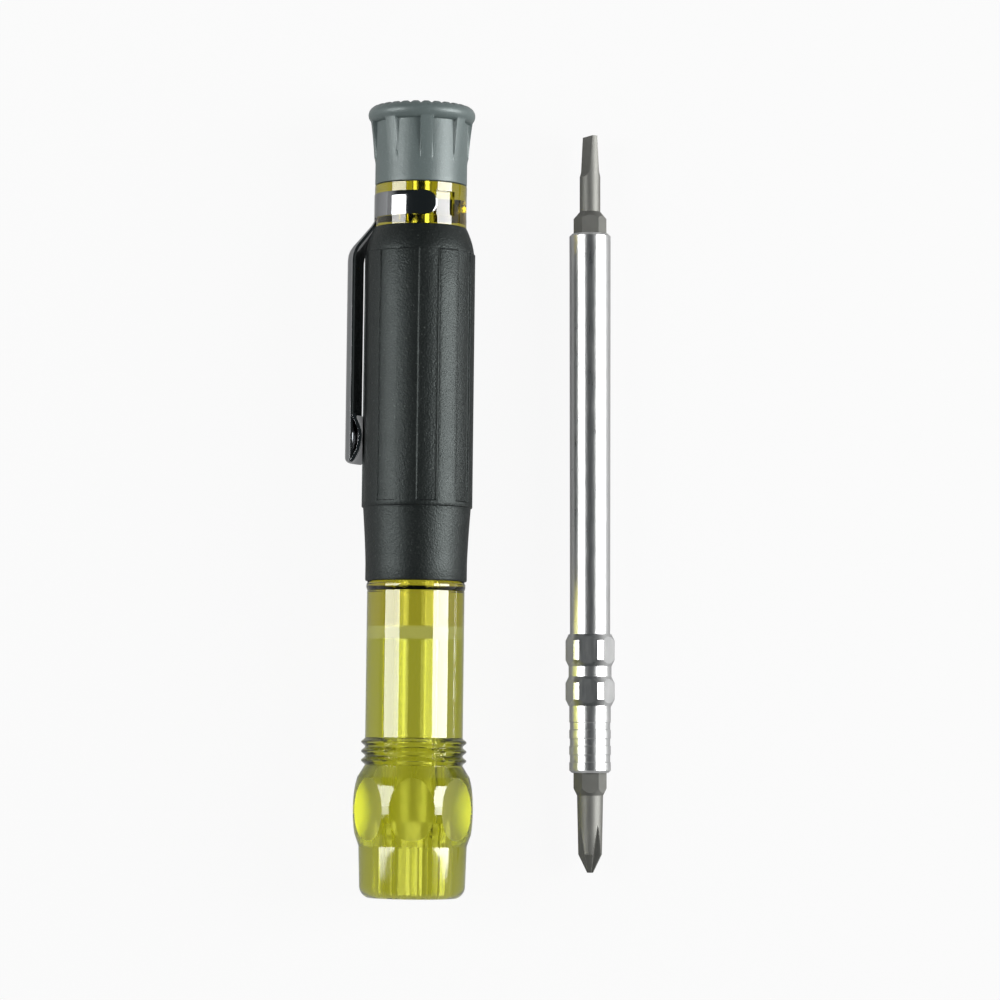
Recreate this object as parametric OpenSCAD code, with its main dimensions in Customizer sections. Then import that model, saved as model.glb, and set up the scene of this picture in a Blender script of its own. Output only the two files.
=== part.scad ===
// Pocket screwdriver: a clear handle with a pocket clip, a rubber grip and a spinning cap,
// laid beside its reversible double-ended shaft, which carries two reversible bits.
// Lengths are in millimetres. The handle lies along +Y with its cap at the +Y end.
// Heights in a handle piece run from the nose end, and heights in the shaft from its lower tip.
// Angles round an axis start straight up (+Z) and grow towards +X.

/* [Nose piece] */
// Length of the plain nose below the ball
nose_length = 7.1; // [5:0.1:12]
// Radius of the nose where it meets the ball
nose_root_r = 7.47; // [7:0.01:7.6]
// Radius of the nose beside its rounded end
nose_end_r = 7.29; // [6.8:0.01:7.45]
// Length of the rounded end of the nose
nose_round_length = 1.5; // [0.5:0.1:3]
// Bulge of the rounded end
nose_round_bulge = 0.27; // [0.1:0.01:0.5]
// Radius of the flat end face
nose_face_r = 6.2; // [5:0.05:6.8]
// Length of the ball
ball_length = 11.1; // [9:0.1:14]
// Greatest radius of the ball
ball_r = 8.35; // [8.2:0.01:9]
// Number of flats round the ball
ball_flats = 7; // [5:1:7]
// Distance of each flat from the axis
ball_flat_distance = 7.75; // [7.6:0.01:7.95]
// Radius of the ball beside its upper bevel
ball_upper_r = 7.75; // [7.4:0.01:7.9]
// Radius of the ball beside its lower bevel
ball_lower_r = 8.04; // [7.8:0.01:8.15]
// Length of the bevel at each end of the ball
ball_bevel_length = 1.65; // [1:0.05:2.5]
// Number of finger ridges above the ball
ridge_count = 3; // [2:1:5]
// Spacing of the finger ridges
ridge_pitch = 1.27; // [1:0.01:1.8]
// Height of each finger ridge
ridge_height = 0.54; // [0.2:0.01:0.7]
// Radius of the clear tube
tube_r = 6.74; // [6.4:0.01:6.9]
// Length of the clear tube above the ridges
tube_length = 20.2; // [15:0.1:30]

/* [Drive socket and bore] */
// Number of flutes in the socket
flute_count = 18; // [12:6:18]
// Radius at the bottom of the flutes
flute_valley_r = 3.68; // [3.55:0.01:4]
// Radius at the crests between the flutes
flute_crest_r = 3.42; // [3.4:0.01:3.5]
// Depth of the fluted socket
socket_depth = 10.5; // [9:0.1:14]
// Radius of the bore for the shaft
bore_r = 2.98; // [2.97:0.01:3.1]
// Depth of the bore from the nose end
bore_depth = 82; // [80:0.5:86]

/* [Core] */
// Radius of the spigot inside the nose piece
spigot_r = 5.3; // [4.8:0.05:5.7]
// Length of the spigot
spigot_length = 4.8; // [3:0.1:6]
// Space left below the spigot for the adhesive
spigot_relief = 1.8; // [0.5:0.1:3]
// Radius of the ring between nose piece and grip
ring_r = 6.86; // [6.75:0.01:7]
// Length of that ring
ring_length = 1.3; // [0.8:0.1:2]
// Bulge of that ring
ring_bulge = 0.2; // [0.1:0.01:0.3]
// Radius of the core under the grip
seat_r = 5.6; // [5.3:0.05:5.8]
// Radius of the two lips of the neck
neck_r = 6.4; // [6.2:0.01:6.5]
// Length of each lip of the neck
lip_length = 1.23; // [1:0.01:2]

/* [Grip] */
// Length of the grip
grip_length = 49.2; // [42:0.1:60]
// Radius of the grip at its lower end
grip_foot_r = 7.04; // [6.9:0.01:7.2]
// Length of the straight lower end
grip_foot_length = 2.6; // [1:0.1:4]
// Length of the smooth collar, with its straight lower end
collar_length = 10.2; // [8:0.1:15]
// Length of the raised ring above the collar
ledge_length = 0.7; // [0.5:0.1:1.5]
// Radius of the collar's top and of the recesses between the bands
grip_floor_r = 7.46; // [7.3:0.01:7.55]
// Radius of the raised bands and ring
grip_band_r = 7.68; // [7.6:0.01:7.9]
// Number of raised bands
grip_bands = 8; // [6:1:10]
// Distance of the bands' upper ends from the top of the grip
band_end_depth = 3.7; // [3:0.1:6]
// Length of the shoulder below the neck
shoulder_length = 3.9; // [3:0.1:6]
// Radius of the grip's upper edge
grip_top_r = 6.42; // [6.3:0.01:6.6]
// Bulge of the shoulder
shoulder_bulge = 0.14; // [0.1:0.01:0.4]
// Size of the eased edges of the grip
grip_edge = 0.25; // [0.1:0.05:0.4]

/* [Clip] */
// Width of the band round the neck
band_width = 3.3; // [2.5:0.1:4.5]
// Thickness of the band
band_thickness = 0.5; // [0.3:0.05:0.6]
// Height at which the band stands above the neck
band_proud = 0.06; // [0.02:0.01:0.2]
// Angle of the middle of the gap in the band
gap_angle = 78; // [70:1:85]
// Width of the gap in the band, as an angle
gap_sweep = 112; // [90:1:130]
// Width of the key that fills the middle of the gap, as an angle
key_sweep = 60; // [40:1:70]
// Angle of the clip round the handle
clip_angle = -102; // [-110:1:-90]
// Width of the clip
clip_width = 5.5; // [4:0.1:6]
// Thickness of the clip
clip_thickness = 0.4; // [0.3:0.01:0.5]
// Distance of the clip's outer face from the axis
clip_reach = 9.95; // [9.6:0.05:12]
// Length of the clip from the band to its tip
clip_length = 34.1; // [25:0.1:40]
// Length of the clip's root, which runs straight down from the band
clip_root_length = 0.2; // [0.1:0.05:0.4]
// Length of the stretch that leans out from the band
clip_rise_length = 4.3; // [3:0.1:5]
// Length of the bend above the straight stretch
clip_bend_length = 1.5; // [1:0.1:2.5]
// Radius of the turned tip
clip_tip_r = 0.55; // [0.4:0.01:0.7]
// Distance of the inner leg from the axis where it comes closest to the grip
clip_foot_distance = 7.8; // [7.75:0.05:8.6]
// Length of the turned-back leg
clip_leg_length = 6.8; // [5:0.1:9]
// Distance of the leg's free end from the axis
clip_leg_end_distance = 8.95; // [8.7:0.05:9.5]

/* [Cap] */
// Length of the cap
cap_length = 11.05; // [9:0.05:14]
// Radius of the cap's skirt
cap_r = 6.39; // [6.2:0.01:6.6]
// Outer radius of the rounded rim
rim_r = 7.45; // [7.2:0.01:7.6]
// Radius of the rim's round section
rim_round_r = 1.2; // [1:0.01:1.3]
// Number of ribs round the cap
rib_count = 8; // [6:1:12]
// Width of each rib
rib_width = 1.65; // [1:0.05:2.2]
// Angle of the first rib
rib_angle = 7.5; // [0:0.5:20]
// Height at which the ribs leave the skirt
rib_start = 3.9; // [3:0.1:5]
// Radius of the ribs where they meet the rim
rib_top_r = 7.22; // [7:0.01:7.3]
// Hollow of the ribs' outer line
rib_hollow = 0.2; // [0.1:0.01:0.3]
// Number of lobes on the crest of the rim
lobe_count = 28; // [20:1:32]
// Depth of the notches between the lobes
notch_depth = 0.3; // [0.2:0.01:0.4]
// Thickness of the floor that turns on the pin
cap_floor = 2.6; // [2:0.1:3.5]
// Radius of the hollow above the floor
cap_hollow_r = 4.6; // [3.5:0.1:4.8]
// Radius of the insert that closes the cap
insert_r = 5; // [4.9:0.05:5.1]
// Thickness of the insert
insert_thickness = 1.2; // [0.8:0.1:2]

/* [Pivot] */
// Radius of the pivot pin
pin_r = 1.25; // [1:0.05:1.6]
// Depth of the pin in the core
pin_depth = 7; // [5:0.5:8]
// Radius of the pin's head
pin_head_r = 2.5; // [2:0.1:3]
// Thickness of the pin's head
pin_head_thickness = 1; // [0.6:0.1:1.5]
// Radius of the washer under the cap
washer_r = 3.2; // [2.5:0.1:4]
// Thickness of the washer
washer_thickness = 0.4; // [0.3:0.05:0.6]

/* [Shaft] */
// Length of the plain tube
stem_length = 56.2; // [45:0.1:65]
// Radius of the tube at its open end
stem_end_r = 2.9; // [2.85:0.01:2.93]
// Radius of the tube beside the hexes
stem_root_r = 2.81; // [2.75:0.01:2.9]
// Size across the flats of the two driving hexes
drive_flats = 6.35; // [6.3:0.01:6.4]
// Radius to which the hex corners are turned
drive_corner_r = 3.43; // [3.38:0.01:3.5]
// Turn of the driving hexes about the shaft
drive_turn = -6; // [-10:1:0]
// Length of the upper driving hex
upper_drive_length = 4.5; // [3.5:0.1:5.5]
// Length of the lower driving hex
lower_drive_length = 4.1; // [3.5:0.1:5.5]
// Length of the groove between the hexes
groove_length = 1.4; // [1:0.1:2.5]
// Radius at the bottom of that groove
groove_r = 3; // [2.9:0.01:3.1]
// Length of the chamfer at each end of a hex
drive_chamfer = 0.9; // [0.4:0.05:1.2]
// Length of the ribbed lower end
ferrule_length = 9.3; // [8:0.1:12]
// Radius of the ribbed end
ferrule_r = 2.9; // [2.85:0.01:2.93]
// Number of grooves round the ribbed end
ferrule_grooves = 3; // [2:1:4]
// Depth of those grooves
ferrule_groove_depth = 0.09; // [0.05:0.01:0.12]
// Width of those grooves
ferrule_groove_width = 1.1; // [0.6:0.05:1.2]
// Spacing of those grooves
ferrule_groove_pitch = 2.25; // [2:0.05:2.5]
// Chamfer at both ends of the shaft
shaft_chamfer = 0.35; // [0.2:0.05:0.4]

/* [Bits] */
// Size across the flats of a bit's hex
bit_flats = 4; // [3.9:0.01:4.05]
// Length of a bit's hex between its cones
bit_hex_length = 7.6; // [6:0.1:10]
// Length of a bit's hex that stands out of the shaft
bit_exposed_length = 2.15; // [1:0.05:3]
// Length of each cone between hex and tip
bit_cone_length = 1; // [0.6:0.1:1.5]
// Length of each tip beyond its cone
tip_length = 10.7; // [9:0.1:12]
// Radius of the slotted bit's neck
blade_neck_r = 1.45; // [1.2:0.01:1.7]
// Thickness of the blade at its end
blade_thickness = 0.75; // [0.5:0.05:1]
// Thickness of the blade where its flats run out
blade_root_thickness = 1.45; // [1.1:0.05:1.8]
// Length of the blade's flats
blade_length = 4.7; // [3:0.1:6]
// Radius at which the flats run out
blade_runout_r = 1.6; // [1.2:0.1:2.5]
// Direction in which one flat of the blade faces
blade_angle = -62; // [-90:1:-40]
// Radius of the cross bit's shank beside its cone
cross_root_r = 1.82; // [1.6:0.01:1.9]
// Radius of the cross bit's shank beside its point
cross_end_r = 1.65; // [1.5:0.01:1.75]
// Length of the cross bit's point
cross_point_length = 2.55; // [2:0.05:3.2]
// Radius of the cross bit's blunt end
cross_face_r = 0.42; // [0.3:0.01:0.6]
// Length of the four wings' grooves
cross_flute_length = 7.1; // [5:0.1:9]
// Distance of the grooves from the axis at the blunt end
cross_flute_r = 0.3; // [0.2:0.01:0.4]
// Angle between the two sides of a groove
cross_flute_angle = 98; // [85:1:100]
// Direction in which one wing of the cross bit points
cross_angle = -8; // [-30:1:30]
// Thickness of the wire in the rings that hold the bits
wire_thickness = 0.25; // [0.2:0.01:0.27]
// Depth of those rings from the shaft's ends
wire_depth = 4; // [3:0.1:4.5]
// Sweep of each wire ring, as an angle
wire_sweep = 300; // [270:5:330]

/* [Lay beside the handle] */
// Distance between the two axes at the shaft's lower tip
lay_distance = 24.63; // [22:0.01:30]
// Angle between the two axes
lay_angle = 0.58; // [0:0.01:2]
// Distance of the shaft's lower tip past the nose end
lay_start = 3.55; // [0:0.05:5]

/* [Fits] */
// Clearance between pieces that are seated in each other
seat_gap = 0.02; // [0.01:0.01:0.04]
// Clearance of pieces that turn or slide on each other
running_gap = 0.05; // [0.03:0.01:0.08]
// Space behind a bit in its socket
socket_relief = 0.2; // [0.1:0.05:0.5]
// Space between the cap and the neck
cap_gap = 0.15; // [0.1:0.01:0.3]
// Space beside the clip in its notch
notch_gap = 0.3; // [0.2:0.05:0.5]

/* [Hidden] */
$fn = 96;

// Overrun of every cut past the face that it opens
overrun = 1;

// Heights along the handle
ball_foot_h = nose_length;
ball_top_h = ball_foot_h + ball_length;
ridge_top_h = ball_top_h + ridge_count * ridge_pitch;
nose_top_h = ridge_top_h + tube_length;
spigot_foot_h = nose_top_h - spigot_length;
ring_foot_h = nose_top_h + seat_gap;
grip_foot_h = ring_foot_h + ring_length;
ledge_h = grip_foot_h + collar_length;
grip_top_h = grip_foot_h + grip_length;
band_foot_h = grip_top_h + lip_length;
band_seat_length = band_width + 2 * seat_gap;
band_top_h = band_foot_h + band_seat_length;
core_top_h = band_top_h + lip_length;
cap_foot_h = core_top_h + cap_gap;
handle_length = cap_foot_h + cap_length;

// Radii of the band and of its seat
band_r = neck_r + band_proud;
band_inner_r = band_r - band_thickness;
band_seat_r = band_inner_r - seat_gap;

// Centre of the rim's round section, and the height of the dish inside the rim
rim_centre_r = rim_r - rim_round_r;
rim_centre_h = cap_length - rim_round_r;
rim_inner_angle = 150;
dish_h = rim_centre_h + rim_round_r * sin(rim_inner_angle);

// Heights along the shaft
cross_foot_h = tip_length + bit_cone_length;
ferrule_foot_h = cross_foot_h + bit_exposed_length;
lower_drive_h = ferrule_foot_h + ferrule_length;
groove_foot_h = lower_drive_h + lower_drive_length;
upper_drive_h = groove_foot_h + groove_length;
stem_foot_h = upper_drive_h + upper_drive_length;
stem_top_h = stem_foot_h + stem_length;
shaft_length = stem_top_h + ferrule_foot_h;

// Length of a whole bit, and of the part of it inside the shaft
bit_length = 2 * (tip_length + bit_cone_length) + bit_hex_length;
bit_inner_length = bit_length - ferrule_foot_h;
bit_socket_depth = bit_inner_length + socket_relief;
bit_socket_r = (bit_flats / 2 + running_gap) / cos(30);
wire_ring_r = bit_socket_r + wire_thickness / 2;
wire_groove_r = wire_ring_r + wire_thickness / 2 + seat_gap;

// Places of the handle and the shaft, which put the origin under the middle of the whole
drive_edge_angle = acos(drive_flats / 2 / drive_corner_r);
clip_side = clip_reach * abs(sin(clip_angle)) + clip_width / 2 * abs(cos(clip_angle));
lay_spread = lay_distance - lower_drive_h * tan(lay_angle) + drive_corner_r;
handle_x = (clip_side - lay_spread) / 2;
handle_y = -handle_length / 2;
handle_z = ball_r;
shaft_x = handle_x + lay_distance;
shaft_y = handle_y + lay_start;
shaft_z = drive_corner_r * cos(drive_edge_angle - abs(drive_turn));

// Steps in a drawn arc
arc_steps = 14;

// Points on an arc round a centre, from one angle to another
function arc(centre, r, from, to) = [
    for (i = [0:arc_steps])
        let (a = from + (to - from) * i / arc_steps)
        centre + r * [cos(a), sin(a)]
];

// Points on an arc from p to q that swells by rise, to the right of the way from p to q
function bow(p, q, rise) =
    let (
        chord = norm(q - p),
        along = (q - p) / chord,
        across = [along.y, -along.x],
        r = (chord * chord / 4 + rise * rise) / (2 * rise),
        half = 2 * atan(2 * rise / chord),
        centre = (p + q) / 2 + (rise - r) * across
    )
    [
        for (i = [0:arc_steps])
            let (a = half * (2 * i / arc_steps - 1))
            centre + r * (cos(a) * across + sin(a) * along)
    ];

// One side of a strip: the path moved sideways by a distance
function beside(path, distance) = [
    for (i = [0:len(path) - 1])
        let (
            before = path[max(i - 1, 0)],
            after = path[min(i + 1, len(path) - 1)],
            along = (after - before) / norm(after - before)
        )
        path[i] + distance * [along.y, -along.x]
];

// A list of points in the opposite order
function reversed(points) = [for (i = [len(points) - 1:-1:0]) points[i]];

// A list of points without its first one
function rest(points) = [for (i = [1:len(points) - 1]) points[i]];

// Places its children along the handle's axis
module on_handle() {
    translate([handle_x, handle_y, handle_z])
        rotate([-90, 0, 0])
            children();
}

// Places its children along the shaft's axis
module on_shaft() {
    translate([shaft_x, shaft_y, shaft_z])
        rotate([0, 0, lay_angle])
            rotate([-90, 0, 0])
                children();
}

// Turns its children so that their +X side points at an angle from straight up
module facing(angle) {
    rotate([0, 0, angle - 90])
        children();
}

// A wedge round the axis, from one angle to another, longer than any ring it cuts
module wedge(from, to, r, h) {
    steps = ceil(abs(to - from) / 30);
    corners = [
        for (i = [0:steps])
            let (a = from + (to - from) * i / steps)
            2 * r * [cos(a - 90), sin(a - 90)]
    ];
    linear_extrude(height = h)
        polygon(concat([[0, 0]], corners));
}

// A ring with square edges
module ring(outer_r, inner_r, h) {
    difference() {
        cylinder(r = outer_r, h = h);
        translate([0, 0, -overrun])
            cylinder(r = inner_r, h = h + 2 * overrun);
    }
}

// Outside of the nose piece, turned round its axis
module nose_outside() {
    ridge_steps = 10 * ridge_count;
    ridges = [
        for (i = [1:ridge_steps])
            let (turn = 360 * ridge_count * i / ridge_steps)
            [
                tube_r + ridge_height * (1 - cos(turn)) / 2,
                ball_top_h + ridge_count * ridge_pitch * i / ridge_steps
            ]
    ];
    rotate_extrude()
        polygon(concat(
            [[0, 0]],
            bow([nose_face_r, 0], [nose_end_r, nose_round_length], nose_round_bulge),
            [[nose_root_r, ball_foot_h]],
            bow(
                [ball_lower_r, ball_foot_h + ball_bevel_length],
                [ball_upper_r, ball_top_h - ball_bevel_length],
                ball_r - (ball_lower_r + ball_upper_r) / 2
            ),
            [[tube_r, ball_top_h]],
            ridges,
            [[tube_r, nose_top_h], [0, nose_top_h]]
        ));
}

// Flats round the ball
module ball_flat_cuts() {
    for (i = [0:ball_flats - 1])
        facing(360 * i / ball_flats)
            translate([ball_flat_distance, -ball_r, ball_foot_h])
                cube([ball_r, 2 * ball_r, ball_length]);
}

// Fluted hole that takes the shaft's driving hexes
module drive_socket() {
    star = [
        for (i = [0:2 * flute_count - 1])
            let (
                a = 180 * i / flute_count,
                r = i % 2 == 0 ? flute_valley_r : flute_crest_r
            )
            r * [cos(a), sin(a)]
    ];
    translate([0, 0, -overrun])
        linear_extrude(height = socket_depth + overrun)
            polygon(star);
}

// Clear front half of the handle, with the fluted socket, the ball and the finger ridges
module nose_piece() {
    counterbore_h = spigot_foot_h - spigot_relief;
    color("yellowgreen", 0.6)
        on_handle()
            difference() {
                nose_outside();
                ball_flat_cuts();
                drive_socket();
                cylinder(r = bore_r, h = nose_top_h);
                translate([0, 0, counterbore_h])
                    cylinder(r = spigot_r + seat_gap, h = nose_top_h);
            }
}

// Outside of the core, turned round its axis
module core_outside() {
    rotate_extrude()
        polygon(concat(
            [
                [0, spigot_foot_h],
                [spigot_r, spigot_foot_h],
                [spigot_r, ring_foot_h]
            ],
            bow([ring_r - ring_bulge, ring_foot_h], [ring_r - ring_bulge, grip_foot_h], ring_bulge),
            [
                [seat_r, grip_foot_h],
                [seat_r, grip_top_h],
                [neck_r, grip_top_h],
                [neck_r, band_foot_h],
                [band_seat_r, band_foot_h],
                [band_seat_r, band_top_h],
                [neck_r, band_top_h],
                [neck_r, core_top_h],
                [0, core_top_h]
            ]
        ));
}

// Notch in the neck's lower lip that lets the clip out
module clip_notch() {
    facing(clip_angle)
        difference() {
            translate([0, -clip_width / 2 - notch_gap, grip_top_h - overrun])
                cube([2 * neck_r, clip_width + 2 * notch_gap, lip_length + overrun]);
            translate([0, 0, grip_top_h - 2 * overrun])
                cylinder(r = band_seat_r - seat_gap, h = lip_length + 4 * overrun);
        }
}

// Key that stands in the gap of the band, sunk into both lips
module neck_key() {
    key_length = band_seat_length + 2 * seat_gap;
    translate([0, 0, band_foot_h - seat_gap])
        intersection() {
            ring(neck_r - seat_gap, seat_r, key_length);
            wedge(gap_angle - key_sweep / 2, gap_angle + key_sweep / 2, neck_r, key_length);
        }
}

// Clear core that carries the nose piece, the grip, the clip and the cap
module handle_core() {
    color("goldenrod", 0.6)
        on_handle()
            difference() {
                union() {
                    core_outside();
                    neck_key();
                }
                translate([0, 0, spigot_foot_h - overrun])
                    cylinder(r = bore_r, h = bore_depth - spigot_foot_h + overrun);
                translate([0, 0, core_top_h - pin_depth])
                    cylinder(r = pin_r + seat_gap, h = pin_depth + overrun);
                clip_notch();
            }
}

// Grip without its raised bands, turned round the axis
module grip_body() {
    rotate_extrude()
        polygon(concat(
            [
                [seat_r + seat_gap, grip_foot_h + seat_gap],
                [grip_foot_r - grip_edge, grip_foot_h + seat_gap],
                [grip_foot_r, grip_foot_h + grip_edge]
            ],
            bow(
                [grip_foot_r, grip_foot_h + grip_foot_length],
                [grip_floor_r, ledge_h - grip_edge],
                -(grip_floor_r - grip_foot_r) / 4
            ),
            [
                [grip_floor_r, ledge_h],
                [grip_band_r, ledge_h + grip_edge],
                [grip_band_r, ledge_h + ledge_length],
                [grip_floor_r, ledge_h + ledge_length]
            ],
            bow(
                [grip_floor_r, grip_top_h - shoulder_length],
                [grip_top_r, grip_top_h - seat_gap],
                shoulder_bulge
            ),
            [[seat_r + seat_gap, grip_top_h - seat_gap]]
        ));
}

// Rubber sleeve with raised bands that run up from a ring to the shoulder
module grip_sleeve() {
    half_band = 180 / grip_bands;
    band_start_h = ledge_h + grip_edge;
    raised_length = grip_top_h - band_end_depth - band_start_h;
    color([0.13, 0.13, 0.14])
        on_handle() {
            grip_body();
            for (i = [1:2:2 * grip_bands - 1])
                translate([0, 0, band_start_h])
                    intersection() {
                        ring(grip_band_r, grip_floor_r - grip_edge, raised_length);
                        wedge(half_band * i, half_band * (i + 1), grip_band_r, raised_length);
                    }
        }
}

// Band round the neck, open on one side, with round ends
module clip_band() {
    end_sweep = asin(band_width / 2 / band_r);
    from = gap_angle + gap_sweep / 2 + end_sweep;
    to = gap_angle - gap_sweep / 2 + 360 - end_sweep;
    color("silver")
        on_handle()
            translate([0, 0, band_foot_h + seat_gap])
                intersection() {
                    ring(band_r, band_inner_r, band_width);
                    union() {
                        wedge(from, to, band_r, band_width);
                        for (a = [from, to])
                            facing(a)
                                translate([band_inner_r / 2, 0, band_width / 2])
                                    rotate([0, 90, 0])
                                        cylinder(r = band_width / 2, h = band_r);
                    }
                }
}

// Middle line of the clip in the plane of the axis, as distances from the axis and heights
function clip_line() =
    let (
        middle = clip_reach - clip_thickness / 2,
        root = [band_r - clip_thickness / 2, band_foot_h],
        tip_h = band_foot_h - clip_length,
        turn = [middle - clip_tip_r, tip_h + clip_thickness / 2 + clip_tip_r],
        leg_h = turn.y + clip_leg_length,
        bend = [middle, root.y - clip_rise_length - clip_bend_length],
        knee = [root.x, root.y - clip_root_length],
        rise_end = [root.x + (middle - root.x) * rise_share, root.y - clip_rise_length],
        leg_start = turn + clip_tip_r * [cos(leg_angle), sin(leg_angle)],
        leg_end = [clip_leg_end_distance, leg_h],
        foot = clip_foot_distance + clip_thickness / 2,
        leg_rise = (leg_start.x + leg_end.x) / 2 - foot
    )
    concat(
        [root, knee],
        bow(rise_end, bend, -clip_bend_length * bend_share),
        arc(turn, clip_tip_r, 0, leg_angle - 360),
        rest(bow(leg_start, leg_end, -leg_rise))
    );

// Share of the clip's reach gained before the bend, the swell of the bend and the leg's start
rise_share = 0.94;
bend_share = 0.12;
leg_angle = 200;

// Springy strip from the band along the grip, turned back at its tip
module clip_arm() {
    line = clip_line();
    color("silver")
        on_handle()
            facing(clip_angle)
                rotate([90, 0, 0])
                    linear_extrude(height = clip_width, center = true)
                        polygon(concat(
                            beside(line, clip_thickness / 2),
                            reversed(beside(line, -clip_thickness / 2))
                        ));
}

// Wall of the cap with its rounded rim, closed above and below
module cap_outside() {
    rim_start = -acos((cap_r - rim_centre_r) / rim_round_r);
    rotate_extrude()
        polygon(concat(
            [
                [0, 0],
                [cap_r - cap_gap, 0],
                [cap_r, cap_gap]
            ],
            arc([rim_centre_r, rim_centre_h], rim_round_r, rim_start, rim_inner_angle),
            [[0, dish_h]]
        ));
}

// Ribs that flare out from the skirt to the rim
module cap_ribs() {
    intersection() {
        rotate_extrude()
            polygon(concat(
                [[0, rib_start]],
                bow([cap_r - cap_gap, rib_start], [rib_top_r, rim_centre_h], -rib_hollow),
                [[0, rim_centre_h]]
            ));
        for (i = [0:rib_count - 1])
            facing(rib_angle + 360 * i / rib_count)
                translate([0, -rib_width / 2, 0])
                    cube([rim_r, rib_width, cap_length]);
    }
}

// Notches that part the crest of the rim into lobes
module rim_notches() {
    half_width = PI * rim_centre_r / lobe_count * notch_share;
    slope = half_width / notch_depth;
    for (i = [0:lobe_count - 1])
        facing(360 * i / lobe_count)
            translate([rim_centre_r - rim_round_r, 0, cap_length - notch_depth])
                rotate([90, 0, 90])
                    linear_extrude(height = 2 * rim_round_r)
                        polygon([
                            [0, 0],
                            [slope * overrun, overrun],
                            [-slope * overrun, overrun]
                        ]);
}

// Share of the lobes' spacing that a notch takes at the crest
notch_share = 0.7;

// Ribbed cup that spins on the pivot pin
module cap_shell() {
    insert_seat_h = dish_h - insert_thickness;
    color("slategray")
        on_handle()
            translate([0, 0, cap_foot_h])
                difference() {
                    union() {
                        cap_outside();
                        cap_ribs();
                    }
                    rim_notches();
                    translate([0, 0, -overrun])
                        cylinder(r = pin_r + running_gap, h = cap_floor + 2 * overrun);
                    translate([0, 0, -overrun])
                        cylinder(r = washer_r + running_gap, h = overrun + washer_lift);
                    translate([0, 0, cap_floor])
                        cylinder(r = cap_hollow_r, h = cap_length);
                    translate([0, 0, insert_seat_h])
                        cylinder(r = insert_r + seat_gap, h = cap_length);
                }
}

// Height of the washer's pocket above the foot of the cap
washer_lift = washer_thickness + 2 * running_gap - cap_gap;

// Disc that closes the cap inside its rim
module cap_insert() {
    color("slategray")
        on_handle()
            translate([0, 0, cap_foot_h + dish_h - insert_thickness + seat_gap])
                cylinder(r = insert_r, h = insert_thickness - seat_gap);
}

// Pin fixed in the core, whose head holds the cap down
module pivot_pin() {
    head_h = cap_foot_h + cap_floor + running_gap;
    color("silver")
        on_handle() {
            translate([0, 0, core_top_h - pin_depth + seat_gap])
                cylinder(r = pin_r, h = head_h - core_top_h + pin_depth);
            translate([0, 0, head_h])
                cylinder(r = pin_head_r, h = pin_head_thickness);
        }
}

// Washer that the cap turns on
module thrust_washer() {
    color("white")
        on_handle()
            translate([0, 0, core_top_h + seat_gap])
                ring(washer_r, pin_r + running_gap, washer_thickness);
}

// One driving hex with turned corners and chamfered ends
module drive_hex(foot_h, length) {
    rotate([0, 0, drive_turn])
        intersection() {
            translate([0, 0, foot_h])
                cylinder(r = drive_flats / 2 / cos(30), h = length, $fn = 6);
            rotate_extrude()
                polygon([
                    [0, foot_h],
                    [groove_r, foot_h],
                    [drive_corner_r, foot_h + drive_chamfer],
                    [drive_corner_r, foot_h + length - drive_chamfer],
                    [groove_r, foot_h + length],
                    [0, foot_h + length]
                ]);
        }
}

// Turned parts of the shaft: the tube, the groove and the ribbed end
module shaft_outside() {
    groove_floor_r = ferrule_r - ferrule_groove_depth;
    first_groove_h = ferrule_foot_h + shaft_chamfer + ferrule_groove_width;
    grooves = [
        for (i = [0:ferrule_grooves - 1])
            let (h = first_groove_h + ferrule_groove_pitch * i)
            each [
                [ferrule_r, h],
                [groove_floor_r, h + ferrule_groove_depth],
                [groove_floor_r, h + ferrule_groove_width - ferrule_groove_depth],
                [ferrule_r, h + ferrule_groove_width]
            ]
    ];
    rotate_extrude()
        polygon(concat(
            [
                [0, ferrule_foot_h],
                [ferrule_r - shaft_chamfer, ferrule_foot_h],
                [ferrule_r, ferrule_foot_h + shaft_chamfer]
            ],
            grooves,
            [
                [ferrule_r, groove_foot_h],
                [groove_r, groove_foot_h],
                [groove_r, stem_foot_h - drive_chamfer],
                [stem_root_r, stem_foot_h],
                [stem_end_r, stem_top_h - shaft_chamfer],
                [stem_end_r - shaft_chamfer, stem_top_h],
                [0, stem_top_h]
            ]
        ));
}

// Hex socket for a bit, open at height zero and running upwards, with a groove for its wire ring
module bit_socket() {
    translate([0, 0, -overrun])
        cylinder(r = bit_socket_r, h = bit_socket_depth + overrun, $fn = 6);
    translate([0, 0, wire_depth - wire_thickness])
        cylinder(r = wire_groove_r, h = 2 * wire_thickness);
}

// Steel shaft: tube, two driving hexes and ribbed end, with a bit socket in each end
module shaft_body() {
    color("lightgray")
        on_shaft()
            difference() {
                union() {
                    shaft_outside();
                    drive_hex(lower_drive_h, lower_drive_length);
                    drive_hex(upper_drive_h, upper_drive_length);
                }
                translate([0, 0, ferrule_foot_h])
                    bit_socket();
                translate([0, 0, stem_top_h])
                    mirror([0, 0, 1])
                        bit_socket();
            }
}

// Open wire ring that holds a bit in its socket
module bit_spring(h) {
    translate([0, 0, h])
        rotate_extrude(angle = wire_sweep)
            translate([wire_ring_r, 0])
                circle(r = wire_thickness / 2, $fn = 24);
}

// Wire ring in the upper socket
module bit_spring_upper() {
    color("silver")
        on_shaft()
            bit_spring(stem_top_h - wire_depth);
}

// Wire ring in the lower socket
module bit_spring_lower() {
    color("silver")
        on_shaft()
            bit_spring(ferrule_foot_h + wire_depth);
}

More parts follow.
